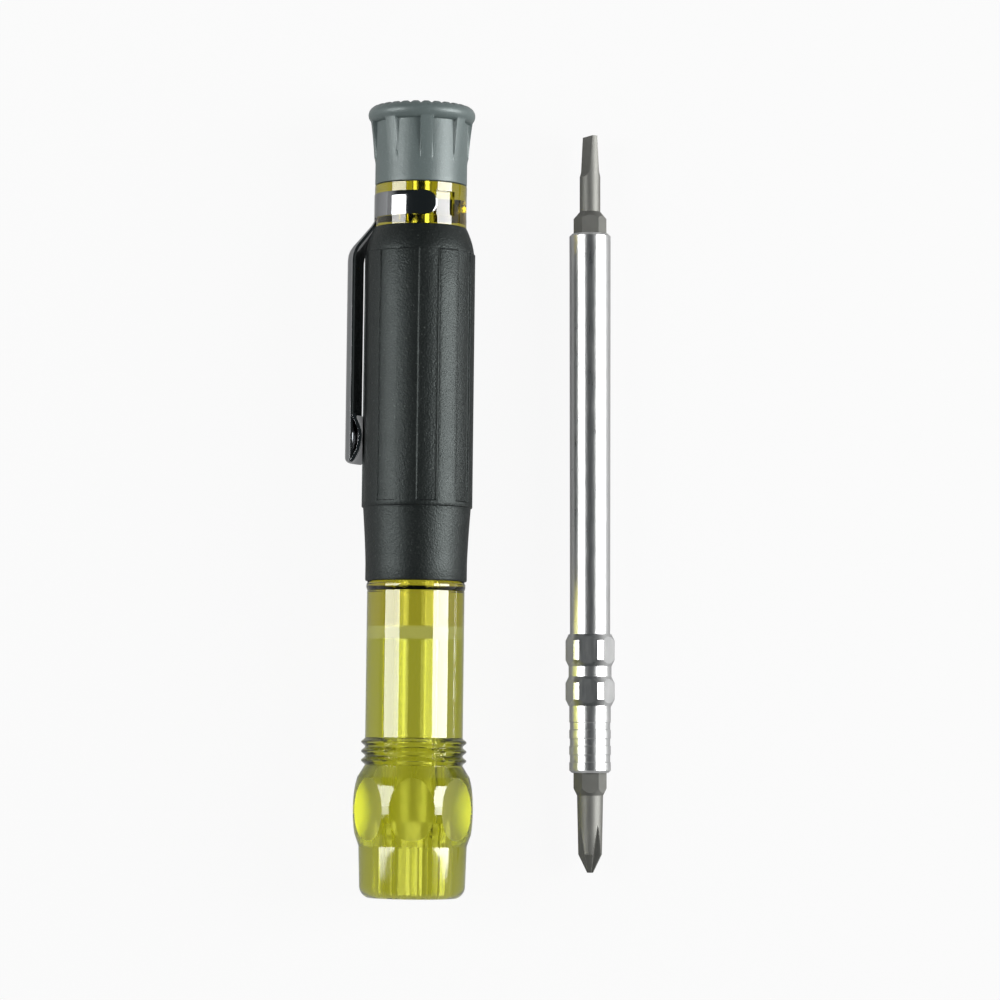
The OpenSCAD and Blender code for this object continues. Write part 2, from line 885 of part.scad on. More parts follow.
// Hex middle of a bit with a round shank at each end, from height zero upwards
module bit_blank(shank) {
    hex_r = bit_flats / 2 / cos(30);
    whole = concat(shank, [for (p = reversed(shank)) [p.x, bit_length - p.y]]);
    intersection() {
        cylinder(r = hex_r, h = bit_length, $fn = 6);
        rotate_extrude()
            polygon(whole);
    }
}

// The two cuts that leave a blade at height zero, thinnest at its end
module blade_cuts() {
    lean = atan((blade_root_thickness - blade_thickness) / 2 / blade_length);
    for (side = [0, 180])
        facing(blade_angle + side)
            translate([blade_thickness / 2, 0, 0])
                rotate([0, lean, 0]) {
                    translate([0, -blade_neck_r, -overrun])
                        cube([blade_neck_r, 2 * blade_neck_r, blade_length + overrun]);
                    translate([blade_runout_r, 0, blade_length])
                        rotate([90, 0, 0])
                            cylinder(r = blade_runout_r, h = 2 * blade_neck_r, center = true);
                }
}

// Reversible bit with a flat blade at each end, shown at the upper end of the shaft
module slotted_bit() {
    hex_r = bit_flats / 2 / cos(30);
    shank = [
        [0, 0],
        [blade_neck_r, 0],
        [blade_neck_r, tip_length],
        [hex_r, tip_length + bit_cone_length]
    ];
    color("dimgray")
        on_shaft()
            translate([0, 0, shaft_length - bit_length])
                difference() {
                    bit_blank(shank);
                    blade_cuts();
                    translate([0, 0, bit_length])
                        mirror([0, 0, 1])
                            blade_cuts();
                }
}

// The four grooves that leave a cross point at height zero
module cross_cuts() {
    reach = cross_root_r * 2;
    lean = atan((cross_root_r - cross_flute_r) / cross_flute_length);
    spread = reach * tan(cross_flute_angle / 2);
    for (i = [0:3])
        facing(cross_angle + 45 + 90 * i)
            translate([cross_flute_r, 0, 0])
                rotate([0, lean, 0])
                    translate([0, 0, -overrun])
                        linear_extrude(height = cross_flute_length * 2)
                            polygon([[0, 0], [reach, -spread], [reach, spread]]);
}

// Reversible bit with a cross point at each end, shown at the lower end of the shaft
module phillips_bit() {
    hex_r = bit_flats / 2 / cos(30);
    shank = [
        [0, 0],
        [cross_face_r, 0],
        [cross_end_r, cross_point_length],
        [cross_root_r, tip_length],
        [hex_r, tip_length + bit_cone_length]
    ];
    color("dimgray")
        on_shaft()
            difference() {
                bit_blank(shank);
                cross_cuts();
                translate([0, 0, bit_length])
                    mirror([0, 0, 1])
                        cross_cuts();
            }
}

handle_core();
nose_piece();
grip_sleeve();
clip_band();
clip_arm();
pivot_pin();
thrust_washer();
cap_shell();
cap_insert();
shaft_body();
bit_spring_upper();
bit_spring_lower();
slotted_bit();
phillips_bit();
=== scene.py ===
"""Pocket screwdriver with a clear handle, laid beside its reversible double-ended shaft.

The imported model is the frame. Its nodes get their finishes here, and a few pieces that need
rounded edges or a springy bend are modelled again over it. Sizes are written in millimetres.
"""

import logging
import math
from dataclasses import dataclass, field
from enum import Enum
from typing import Any, Sequence, Union

import bmesh
import bpy
from mathutils import Matrix, Vector
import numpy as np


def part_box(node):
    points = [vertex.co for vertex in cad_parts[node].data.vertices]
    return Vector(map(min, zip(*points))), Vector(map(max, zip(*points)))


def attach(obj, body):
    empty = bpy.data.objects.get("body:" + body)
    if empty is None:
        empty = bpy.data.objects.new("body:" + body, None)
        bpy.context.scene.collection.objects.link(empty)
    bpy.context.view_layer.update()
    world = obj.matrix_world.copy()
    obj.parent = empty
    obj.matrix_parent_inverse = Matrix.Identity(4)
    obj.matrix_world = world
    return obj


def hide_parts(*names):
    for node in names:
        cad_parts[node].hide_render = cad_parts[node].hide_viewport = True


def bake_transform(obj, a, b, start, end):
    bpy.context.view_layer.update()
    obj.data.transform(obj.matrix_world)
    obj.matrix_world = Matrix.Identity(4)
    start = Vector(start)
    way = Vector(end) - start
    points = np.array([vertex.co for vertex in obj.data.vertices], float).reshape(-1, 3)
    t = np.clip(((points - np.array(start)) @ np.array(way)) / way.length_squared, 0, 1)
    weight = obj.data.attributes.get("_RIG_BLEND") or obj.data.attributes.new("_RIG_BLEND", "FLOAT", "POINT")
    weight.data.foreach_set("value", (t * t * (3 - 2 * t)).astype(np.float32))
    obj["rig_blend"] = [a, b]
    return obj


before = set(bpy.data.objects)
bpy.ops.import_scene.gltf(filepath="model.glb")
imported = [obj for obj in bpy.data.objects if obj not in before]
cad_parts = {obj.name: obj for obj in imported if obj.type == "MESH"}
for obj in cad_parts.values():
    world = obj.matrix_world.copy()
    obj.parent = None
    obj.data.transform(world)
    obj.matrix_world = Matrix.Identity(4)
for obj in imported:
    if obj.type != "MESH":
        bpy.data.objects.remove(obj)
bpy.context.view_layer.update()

MM = 0.001
Colour = tuple[float, float, float]
log = logging.getLogger("screwdriver")


class Slot(Enum):
    """Names of the record's material slots for the grip, the cap and the clip. Nothing in this script reads
    them.
    """

    GRIP = "grip_rubber"
    CAP = "cap_plastic"
    CLIP = "clip_chrome"


# ---------------------------------------------------------------- shader maths


@dataclass(frozen=True)
class Value:
    """A shader socket that can stand in a Python expression."""

    sheet: "Sheet"
    socket: bpy.types.NodeSocket

    def _math(self, operation: str, *terms: "Number") -> "Value":
        """Adds a Math node on these terms."""
        return self.sheet.node("ShaderNodeMath", {"operation": operation}, dict(enumerate(terms)))

    def __add__(self, other: "Number") -> "Value":
        """This value plus another."""
        return self._math("ADD", self, other)

    def __sub__(self, other: "Number") -> "Value":
        """This value less another."""
        return self._math("SUBTRACT", self, other)

    def __rsub__(self, other: float) -> "Value":
        """A number less this value."""
        return self._math("SUBTRACT", other, self)

    def __mul__(self, other: "Number") -> "Value":
        """This value times another."""
        return self._math("MULTIPLY", self, other)

    def __truediv__(self, other: "Number") -> "Value":
        """This value over another."""
        return self._math("DIVIDE", self, other)

    def __pow__(self, other: "Number") -> "Value":
        """This value to a power."""
        return self._math("POWER", self, other)

    __radd__ = __add__
    __rmul__ = __mul__

    def above(self, low: float, high: float) -> "Value":
        """Rises smoothly from 0 at the low value to 1 at the high one."""
        settings = {"interpolation_type": "SMOOTHSTEP"}
        span = {"Value": self, "From Min": low, "From Max": high}
        return self.sheet.node("ShaderNodeMapRange", settings, span)


Number = Union[float, Value]


class Sheet:
    """The nodes of one material or of the world."""

    def __init__(self, tree: bpy.types.NodeTree) -> None:
        """Empties the tree.

        Args:
            tree: The node tree to fill.
        """
        self.tree = tree
        tree.nodes.clear()

    def node(self, kind: str, settings: dict[str, Any], inputs: dict[Any, Any], output: Any = 0) -> Value:
        """Adds a node.

        Args:
            kind: The node's type.
            settings: Its own settings, set first. A ramp's stops are (place, colour) pairs.
            inputs: Values or links of its sockets, by name or number.
            output: The socket to return.

        Returns:
            The output socket as a value.
        """
        made = self.tree.nodes.new(kind)
        for key, setting in settings.items():
            if key == "stops":
                self._fill_ramp(made.color_ramp, setting)
            else:
                setattr(made, key, setting)
        for key, given in inputs.items():
            socket = made.inputs[key]
            if isinstance(given, Value):
                self.tree.links.new(given.socket, socket)
            elif isinstance(given, (tuple, list)) and len(given) == 3 and socket.type == "RGBA":
                socket.default_value = (*given, 1.0)
            else:
                socket.default_value = given
        return Value(self, made.outputs[output] if made.outputs else None)

    @staticmethod
    def _fill_ramp(ramp: bpy.types.ColorRamp, stops: Sequence[tuple[float, Colour]]) -> None:
        """Sets a ramp's stops."""
        while len(ramp.elements) < len(stops):
            ramp.elements.new(0.5)
        for element, (place, colour) in zip(ramp.elements, stops):
            element.position = place
            element.color = (*colour, 1.0)

    def place(self, stretch: Sequence[float] = (1.0, 1.0, 1.0)) -> Value:
        """Object coordinates in millimetres, stretched along each axis."""
        spot = self.node("ShaderNodeTexCoord", {}, {}, "Object")
        scale = tuple(part / MM for part in stretch)
        return self.node("ShaderNodeMapping", {}, {"Vector": spot, "Scale": scale})

    def noise(self, size: float, stretch: Sequence[float] = (1, 1, 1), detail: float = 2.0) -> Value:
        """Noise whose features are about this size in millimetres.

        Args:
            size: Size of a feature.
            stretch: How much finer the pattern is along each axis.
            detail: Octaves of finer noise.

        Returns:
            The noise, about 0.5 on average.
        """
        inputs = {"Vector": self.place(stretch), "Scale": 1 / size, "Detail": detail, "Roughness": 0.55}
        return self.node("ShaderNodeTexNoise", {}, inputs)

    def cells(self, size: float) -> Value:
        """Distance to the nearest of scattered points, for specks and grain."""
        return self.node("ShaderNodeTexVoronoi", {}, {"Vector": self.place(), "Scale": 1 / size}, "Distance")

    def shade(self, factor: Number, low: Colour, high: Colour) -> Value:
        """A colour between two, by a factor."""
        return self.node("ShaderNodeMix", {"data_type": "RGBA"}, {0: factor, 6: low, 7: high}, 2)

    def bump(self, height: Value, depth: float, strength: float = 1.0) -> Value:
        """A surface normal from a height map.

        Args:
            height: The height, from 0 to 1.
            depth: Height of 1, in millimetres.
            strength: Share of the bump that shows.

        Returns:
            The normal.
        """
        inputs = {"Height": height, "Distance": depth * MM, "Strength": strength}
        return self.node("ShaderNodeBump", {}, inputs)


class Finish:
    """A surface finish. Each kind fills the inputs of one principled shader."""

    name: str

    def inputs(self, sheet: Sheet) -> dict[str, Any]:
        """The inputs of the principled shader.

        Args:
            sheet: Where nodes are added.

        Returns:
            Values and links by the inputs' names.
        """
        raise NotImplementedError

    def absorbs(self) -> tuple[Colour, float] | None:
        """Colour and density of what the light passes through, for a clear finish."""
        return None

    def bond(self, sheet: Sheet) -> Value | None:
        """Where the surface is glued to another and so doesn't bend the light.

        Args:
            sheet: Where nodes are added.

        Returns:
            1 where it is glued and 0 elsewhere, or None for a surface that is nowhere glued.
        """
        return None

    def material(self) -> bpy.types.Material:
        """Makes the material, or returns the one made before.

        Returns:
            The material.
        """
        known = bpy.data.materials.get(self.name)
        if known is not None:
            return known
        made = bpy.data.materials.new(self.name)
        made.use_nodes = True
        sheet = Sheet(made.node_tree)
        surface = sheet.node("ShaderNodeBsdfPrincipled", {}, self.inputs(sheet))
        bond = self.bond(sheet)
        if bond is not None:
            clear = sheet.node("ShaderNodeBsdfTransparent", {}, {"Color": (1.0, 1.0, 1.0)})
            surface = sheet.node("ShaderNodeMixShader", {}, {0: bond, 1: surface, 2: clear})
        links = {"Surface": surface}
        inside = self.absorbs()
        if inside is not None:
            colour, density = inside
            volume = {"Color": colour, "Density": density}
            links["Volume"] = sheet.node("ShaderNodeVolumeAbsorption", {}, volume)
        sheet.node("ShaderNodeOutputMaterial", {}, links)
        return made

    def dress(self, piece: bpy.types.Object) -> None:
        """Puts the material on a piece."""
        if piece.material_slots:
            for place in piece.material_slots:
                place.material = self.material()
        else:
            piece.data.materials.append(self.material())


@dataclass(frozen=True)
class ClearPlastic(Finish):
    """Tinted clear plastic with faint flow lines, specks and handling marks."""

    name: str
    tint: Colour
    deep: Colour
    density: float
    ior: float = 1.49
    polish: float = 0.02
    frost: float = 0.3
    coat: float = 0.65
    tint_spread: float = 1.04
    bond_r: tuple[float, float] = (3.0, 5.4)
    bond_heights: tuple[float, float] = (35.55, 42.2)
    bond_edges: tuple[float, float] = (0.02, 0.01)
    flat_r: float = 7.7
    flat_edge: float = 0.04
    flat_lean: tuple[float, float] = (0.0004, 0.0016)

    def inputs(self, sheet: Sheet) -> dict[str, Any]:
        """Tint, gloss and a very shallow waviness."""
        flow = sheet.noise(2.2, (1, 0.25, 1))
        marks = sheet.noise(0.35, (1, 0.4, 1), 3.0)
        lighter = tuple(min(1.0, part * self.tint_spread) for part in self.tint)
        return {
            "Base Color": sheet.shade(flow, self.tint, lighter),
            "Roughness": self.polish + 0.03 * marks.above(0.55, 0.75) + self.frost * self._ground(sheet),
            "Transmission Weight": 1.0,
            "IOR": self.ior,
            "Coat Weight": self.coat,
            "Coat IOR": 1.5,
            "Coat Roughness": 0.05,
            "Normal": sheet.bump(flow, 0.004, 0.4),
        }

    def _round_axis(self, sheet: Sheet) -> tuple[Value, Value]:
        """Distance from the handle's axis and height along it, in millimetres."""
        axis = Axis.of_handle()
        spot = sheet.node("ShaderNodeNewGeometry", {}, {}, "Position")
        x, y, z = (sheet.node("ShaderNodeSeparateXYZ", {}, {0: spot}, part) for part in "XYZ")
        aside, above = (x - axis.x) / MM, (z - axis.z) / MM
        return (aside * aside + above * above) ** 0.5, (y - axis.foot) / MM

    def _ground(self, sheet: Sheet) -> Value:
        """The flats cut round the ball, which are less glossy: only they face straight outwards so far out."""
        facing = sheet.node("ShaderNodeNewGeometry", {}, {}, "True Normal")
        along = sheet.node("ShaderNodeSeparateXYZ", {}, {0: facing}, "Y")
        upright = 1.0 - (along * along).above(*self.flat_lean)
        radius, _ = self._round_axis(sheet)
        return upright * radius.above(self.flat_r, self.flat_r + self.flat_edge)

    def bond(self, sheet: Sheet) -> Value:
        """The wall between the core's spigot and the nose piece, where the two are glued."""
        radius, height = self._round_axis(sheet)
        low, high = self.bond_r
        foot, top = self.bond_heights
        wide, tall = self.bond_edges
        wall = radius.above(low, low + wide) * (1.0 - radius.above(high - wide, high))
        return wall * height.above(foot, foot + tall) * (1.0 - height.above(top, top + tall))

    def absorbs(self) -> tuple[Colour, float]:
        """The colour that deepens with thickness."""
        return self.deep, self.density


@dataclass(frozen=True)
class GripRubber(Finish):
    """Black moulded rubber with a fine grain, and bright specks that are painted glints."""

    name: str = "grip_rubber_speckled"
    dark: Colour = (0.0028, 0.004, 0.004)
    # The specks' colour: a painted glint, which the grain's lighter tone shares a little.
    light: Colour = (0.06, 0.066, 0.062)

    def inputs(self, sheet: Sheet) -> dict[str, Any]:
        """Grain, bright specks that are painted glints, and a broad sheen."""
        grain = sheet.noise(0.2, detail=3.0)
        cells = sheet.cells(0.3)
        patches = sheet.noise(3.0)
        height = grain * 0.7 + cells * 0.5
        # Painted glints: bright specks in the colour, for the highlights on the grain's bumps.
        specks = sheet.noise(0.34, detail=4.0).above(0.6, 0.74)
        return {
            "Base Color": sheet.shade(grain.above(0.35, 0.7) * 0.16 + specks * 0.84, self.dark, self.light),
            "Roughness": 0.4 + 0.08 * patches - 0.08 * grain.above(0.55, 0.75),
            "Specular IOR Level": 0.5,
            "Specular Tint": (0.78, 0.88, 0.86, 1.0),
            "Normal": sheet.bump(height, 0.055, 0.9),
        }


@dataclass(frozen=True)
class SatinPlastic(Finish):
    """Opaque moulded plastic with a satin grain."""

    name: str = "cap_plastic_satin"
    dark: Colour = (0.1, 0.126, 0.124)
    light: Colour = (0.155, 0.19, 0.186)

    def inputs(self, sheet: Sheet) -> dict[str, Any]:
        """Spark-eroded grain under a satin gloss."""
        grain = sheet.noise(0.22, detail=3.0)
        patches = sheet.noise(2.5)
        specks = 1.0 - sheet.cells(0.5).above(0.12, 0.3)
        return {
            "Base Color": sheet.shade(grain * 0.4 + patches * 0.2 + specks * 0.4, self.dark, self.light),
            "Roughness": 0.34 + 0.08 * patches,
            "Specular IOR Level": 0.75,
            "Specular Tint": (0.88, 0.96, 0.95, 1.0),
            "Normal": sheet.bump(grain, 0.035, 0.9),
        }


@dataclass(frozen=True)
class Steel(Finish):
    """Metal with fine tool marks along one direction."""

    name: str
    dark: Colour
    light: Colour
    polish: float
    marks: float
    stretch: tuple[float, float, float] = (1.0, 0.04, 1.0)
    mark_size: float = 0.12
    depth: float = 0.001

    def inputs(self, sheet: Sheet) -> dict[str, Any]:
        """Tool marks, cloudiness and small scratches."""
        lines = sheet.noise(self.mark_size, self.stretch, 3.0)
        cloud = sheet.noise(1.8)
        return {
            "Base Color": sheet.shade(lines * 0.5 + cloud * 0.5, self.dark, self.light),
            "Metallic": 1.0,
            "Roughness": self.polish + self.marks * lines.above(0.35, 0.7) + 0.04 * cloud,
            "Normal": sheet.bump(lines, self.depth, 0.5),
        }


@dataclass(frozen=True)
class Nylon(Finish):
    """Pale washer plastic."""

    name: str = "washer_nylon"
    dark: Colour = (0.6, 0.58, 0.52)
    light: Colour = (0.72, 0.7, 0.64)

    def inputs(self, sheet: Sheet) -> dict[str, Any]:
        """Faint turning marks."""
        cloud = sheet.noise(0.8)
        return {
            "Base Color": sheet.shade(cloud, self.dark, self.light),
            "Roughness": 0.4 + 0.15 * cloud,
            "Normal": sheet.bump(cloud, 0.01, 0.4),
        }


NOSE_PLASTIC = ClearPlastic("nose_plastic_clear", (0.98, 0.978, 0.92), (0.88, 0.89, 0.0), 225.0)
CORE_PLASTIC = ClearPlastic("core_plastic_amber", (0.98, 0.962, 0.88), (0.9, 0.86, 0.0), 280.0)
RUBBER = GripRubber()
CAP_PLASTIC = SatinPlastic()
# Partly painted shade: the chrome's colour is set darker than polished chrome, for the dark surroundings that
# the clip reflects.
CHROME_PAINTED_DARK = Steel("clip_chrome_polished", (0.36, 0.37, 0.38), (0.44, 0.45, 0.46), 0.05, 0.03)
SHAFT_STEEL = Steel("shaft_plated_steel", (0.7, 0.71, 0.71), (0.8, 0.8, 0.79), 0.26, 0.06, depth=0.0002)
BIT_STEEL = Steel(
    "bit_steel_satin", (0.2, 0.2, 0.185), (0.3, 0.3, 0.28), 0.55, 0.08,
    stretch=(1.0, 1.0, 1.0), mark_size=0.16, depth=0.012,
)
PIN_STEEL = Steel("pin_steel_drawn", (0.5, 0.5, 0.5), (0.62, 0.62, 0.62), 0.2, 0.1)
NYLON = Nylon()


# ---------------------------------------------------------------- places


@dataclass(frozen=True)
class Axis:
    """The handle's axis. Heights run from the nose end, and angles start straight up and grow towards +X."""

    x: float
    z: float
    foot: float

    @classmethod
    def of_handle(cls) -> "Axis":
        """Finds the axis from the disc in the cap and the nose end."""
        low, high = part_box("cap_insert")
        middle = (low + high) / 2
        return cls(middle.x, middle.z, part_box("nose_piece")[0].y)

    def point(self, radius: float, angle: float, height: float) -> Vector:
        """A point round the axis.

        Args:
            radius: Distance from the axis, in millimetres.
            angle: Angle round the axis, in degrees.
            height: Height along the axis, in millimetres.

        Returns:
            The point in the frame, in metres.
        """
        turn = math.radians(angle)
        return Vector((
            self.x + radius * MM * math.sin(turn),
            self.foot + height * MM,
            self.z + radius * MM * math.cos(turn),
        ))

    def stand(self) -> Matrix:
        """Turns a piece made round +Z, in millimetres, into its place round this axis."""
        turn = Matrix.Rotation(math.radians(-90), 4, "X")
        return Matrix.Translation((self.x, self.foot, self.z)) @ turn @ Matrix.Scale(MM, 4)


def make_piece(name: str, mesh: bmesh.types.BMesh, place: Matrix, smooth_angle: float) -> bpy.types.Object:
    """Turns a bmesh into an object whose place is in its mesh.

    Args:
        name: The piece's name.
        mesh: The bmesh, in millimetres. It is freed.
        place: Where the mesh goes in the frame.
        smooth_angle: Edges sharper than this, in degrees, stay crisp.

    Returns:
        The new object.
    """
    bmesh.ops.transform(mesh, matrix=place, verts=mesh.verts)
    for face in mesh.faces:
        face.smooth = True
    for edge in mesh.edges:
        edge.smooth = len(edge.link_faces) == 2 and edge.calc_face_angle(0.0) < math.radians(smooth_angle)
    data = bpy.data.meshes.new(name)
    mesh.to_mesh(data)
    mesh.free()
    piece = bpy.data.objects.new(name, data)
    bpy.context.scene.collection.objects.link(piece)
    log.info("%s: %d faces", name, len(data.polygons))
    return piece


def turn_section(section: Sequence[tuple[float, float]], steps: int) -> bmesh.types.BMesh:
    """Spins a closed section round +Z.

    Args:
        section: Radii and heights of its corners, in millimetres.
        steps: Steps of the full turn.

    Returns:
        The closed mesh.
    """
    mesh = bmesh.new()
    verts = [mesh.verts.new((radius, 0, height)) for radius, height in section]
    loop = [mesh.edges.new(pair) for pair in zip(verts, verts[1:] + verts[:1])]
    bmesh.ops.spin(
        mesh, geom=loop, cent=(0, 0, 0), axis=(0, 0, 1), angle=math.tau, steps=steps, use_merge=True,
    )
    bmesh.ops.remove_doubles(mesh, verts=mesh.verts, dist=0.001)
    bmesh.ops.recalc_face_normals(mesh, faces=mesh.faces)
    return mesh


def extrude_row(mesh: bmesh.types.BMesh, row: list[bmesh.types.BMEdge]) -> tuple[
        list[bmesh.types.BMVert], list[bmesh.types.BMEdge]]:
    """Extrudes a row of edges and gives the new row's vertices and edges."""
    grown = bmesh.ops.extrude_edge_only(mesh, edges=row)["geom"]
    verts = [part for part in grown if isinstance(part, bmesh.types.BMVert)]
    return verts, [part for part in grown if isinstance(part, bmesh.types.BMEdge)]


def soften(mesh: bmesh.types.BMesh, edges: list[bmesh.types.BMEdge], width: float) -> None:
    """Rounds edges over a width in millimetres."""
    bmesh.ops.bevel(
        mesh, geom=edges, offset=width, offset_type="OFFSET", segments=2, profile=0.5,
        affect="EDGES", material=-1, clamp_overlap=True,
    )


# ---------------------------------------------------------------- the clip


# Distances from the axis, and drops below the band's foot, of the bent root and shoulder.
CLIP_ROOT = (
    (6.46, 0.1), (6.5, 0.28), (6.66, 0.55), (7.05, 1.05),
    (8.42, 2.55), (9.56, 3.75), (9.96, 4.3), (10.18, 4.9),
)
# Distances from the axis, and rises above the tip, of the leg that is turned back.
CLIP_LEG = (
    (8.22, 1.5), (7.98, 2.4), (7.82, 3.2), (7.76, 3.8),
    (7.86, 4.5), (8.2, 5.4), (8.62, 6.3), (8.84, 6.8),
)


@dataclass
class ClipStrip:
    """The chromed strip: band round the neck, root, arm, and tip turned back towards the grip."""

    axis: Axis
    band_r: float = 6.46
    band_foot: float = 93.98
    band_width: float = 3.3
    thickness: float = 0.42
    angle: float = -102.0
    gap_sweep: float = 112.0
    band_steps: int = 34
    root_steps: int = 4
    width: float = 5.5
    reach: float = 10.28
    length: float = 34.0
    arm_start: float = 5.7
    arm_step: float = 2.65
    arm_steps: int = 10
    tip_r: float = 0.8
    crown: float = 1.3
    leg_crown: float = 0.46
    crown_rows: int = 6
    leg_rows: int = 8
    edge_r: float = 0.09
    piece: bpy.types.Object | None = None

    def build(self) -> None:
        """Makes the strip as a sheet, gives it its thickness and rounds its edges."""
        mesh = bmesh.new()
        mesh.verts.layers.float.new("share")
        step = self._band_sheet(mesh)
        self._arm_sheet(mesh, step)
        bmesh.ops.remove_doubles(mesh, verts=mesh.verts, dist=0.01)
        bmesh.ops.recalc_face_normals(mesh, faces=mesh.faces)
        probe = max(mesh.faces, key=lambda face: face.calc_center_median().z)
        middle = probe.calc_center_median()
        if probe.normal.dot(Vector((middle.x, middle.y, 0))) < 0:
            bmesh.ops.reverse_faces(mesh, faces=mesh.faces)
        bmesh.ops.solidify(mesh, geom=mesh.faces[:], thickness=self.thickness)
        bmesh.ops.recalc_face_normals(mesh, faces=mesh.faces)
        rim = [edge for edge in mesh.edges if edge.calc_face_angle(0.0) > math.radians(60)]
        soften(mesh, rim, self.edge_r)
        self.piece = make_piece("clip_strip", mesh, self.axis.stand(), 45)

    def _band_sheet(self, mesh: bmesh.types.BMesh) -> float:
        """Spins the band's outer face round the axis and narrows its two ends.

        Args:
            mesh: The bmesh to add to.

        Returns:
            The angle of one step, in radians.
        """
        end = math.asin(self.band_width / 2 / self.band_r)
        half = math.radians(180 - self.gap_sweep / 2) - end
        start = math.radians(self.angle - 90) - half
        x, y = self.band_r * math.cos(start), self.band_r * math.sin(start)
        rises = (self.band_width * share for share in (0.0, 0.25, 0.5, 0.75, 1.0))
        column = [mesh.verts.new((x, y, self.band_foot + rise)) for rise in rises]
        edges = [mesh.edges.new(pair) for pair in zip(column, column[1:])]
        bmesh.ops.spin(
            mesh, geom=edges, cent=(0, 0, 0), axis=(0, 0, 1), angle=2 * half,
            steps=self.band_steps, use_merge=False,
        )
        for side in (-1, 1):
            self._round_end(mesh, start + half + side * half, side * end)
        return 2 * half / self.band_steps

    def _round_end(self, mesh: bmesh.types.BMesh, angle: float, sweep: float) -> None:
        """Extrudes one end of the band in steps that narrow to a half circle.

        Args:
            mesh: The band's bmesh.
            angle: Where the band ends, in radians.
            sweep: Turn from there to the tip of the half circle, in radians.
        """
        direction = Vector((math.cos(angle), math.sin(angle)))
        rim = [
            edge for edge in mesh.edges if edge.is_boundary
            and all((Vector(v.co.xy).normalized() - direction).length < 0.01 for v in edge.verts)
        ]
        centre = Matrix.Translation((0, 0, -self.band_foot - self.band_width / 2))
        shares = [math.sin(math.radians(15 * i)) for i in range(1, 6)]
        before_turn, before_height = 0.0, 1.0
        for share in shares:
            verts, rim = extrude_row(mesh, rim)
            turn = sweep * share
            twist = Matrix.Rotation(turn - before_turn, 3, "Z")
            bmesh.ops.rotate(mesh, verts=verts, cent=(0, 0, 0), matrix=twist)
            height = math.sqrt(1 - share * share)
            bmesh.ops.scale(mesh, verts=verts, vec=(1, 1, height / before_height), space=centre)
            before_turn, before_height = turn, height

    def _path(self) -> list[tuple[float, float]]:
        """Follows the clip's outer face from the band to the free end.

        Returns:
            Distances from the axis and heights, in millimetres.
        """
        foot, tip = self.band_foot, self.band_foot - self.length
        path = [(distance, foot - drop) for distance, drop in CLIP_ROOT]
        path += [(self.reach, foot - self.arm_start - self.arm_step * i) for i in range(self.arm_steps)]
        for turn in map(math.radians, range(0, -150, -15)):
            out, up = self.tip_r * math.cos(turn), self.tip_r * math.sin(turn)
            path.append((self.reach - self.tip_r + out, tip + self.tip_r + up))
        return path + [(distance, tip + rise) for distance, rise in CLIP_LEG]

    def _arm_sheet(self, mesh: bmesh.types.BMesh, step: float) -> None:
        """Extrudes the arm from the band's lower edge, easing its section from the band's curve to a crown.

        Args:
            mesh: The bmesh to add to.
            step: The angle of one step of the band, in radians.
        """
        middle = math.radians(self.angle - 90)
        rim = []
        for edge in mesh.edges:
            spots = [v.co for v in edge.verts]
            turns = [math.remainder(math.atan2(spot.y, spot.x) - middle, math.tau) for spot in spots]
            at_foot = all(abs(spot.z - self.band_foot) < 1e-4 for spot in spots)
            if at_foot and all(abs(turn) < (self.root_steps + 0.1) * step for turn in turns):
                rim.append(edge)
        out = Vector((math.cos(middle), math.sin(middle), 0))
        across = Vector((-math.sin(middle), math.cos(middle), 0))
        share_layer, arm_rows = mesh.verts.layers.float["share"], len(CLIP_ROOT) + self.arm_steps
        for index, (distance, height) in enumerate(self._path()):
            verts, rim = extrude_row(mesh, rim)
            flat = min(1.0, index / self.crown_rows)
            turned = min(1.0, max(0, index - arm_rows) / self.leg_rows)
            crown = self.crown + (self.leg_crown - self.crown) * turned
            for vert in verts:
                aside = vert.co.dot(across)
                if index == 0:
                    vert[share_layer] = aside / (self.band_r * math.sin(self.root_steps * step))
                share = vert[share_layer]
                side = share * self.width / 2
                curl = self.band_r - math.sqrt(self.band_r ** 2 - side ** 2)
                dip = curl * (1 - flat) + crown * share * share * flat
                vert.co = out * (distance - dip) + across * side + Vector((0, 0, height))

    def dress(self) -> None:
        """Chromes the strip, lets it flex and hides the two nodes that it stands for."""
        strip = self.piece
        CHROME_PAINTED_DARK.dress(strip)
        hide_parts("clip_band", "clip_arm")
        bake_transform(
            strip, "handle", "clip",
            start=tuple(self.axis.point(7, self.angle, self.band_foot)),
            end=tuple(self.axis.point(8.2, self.angle, self.band_foot - 3)),
        )


# ---------------------------------------------------------------- the grip


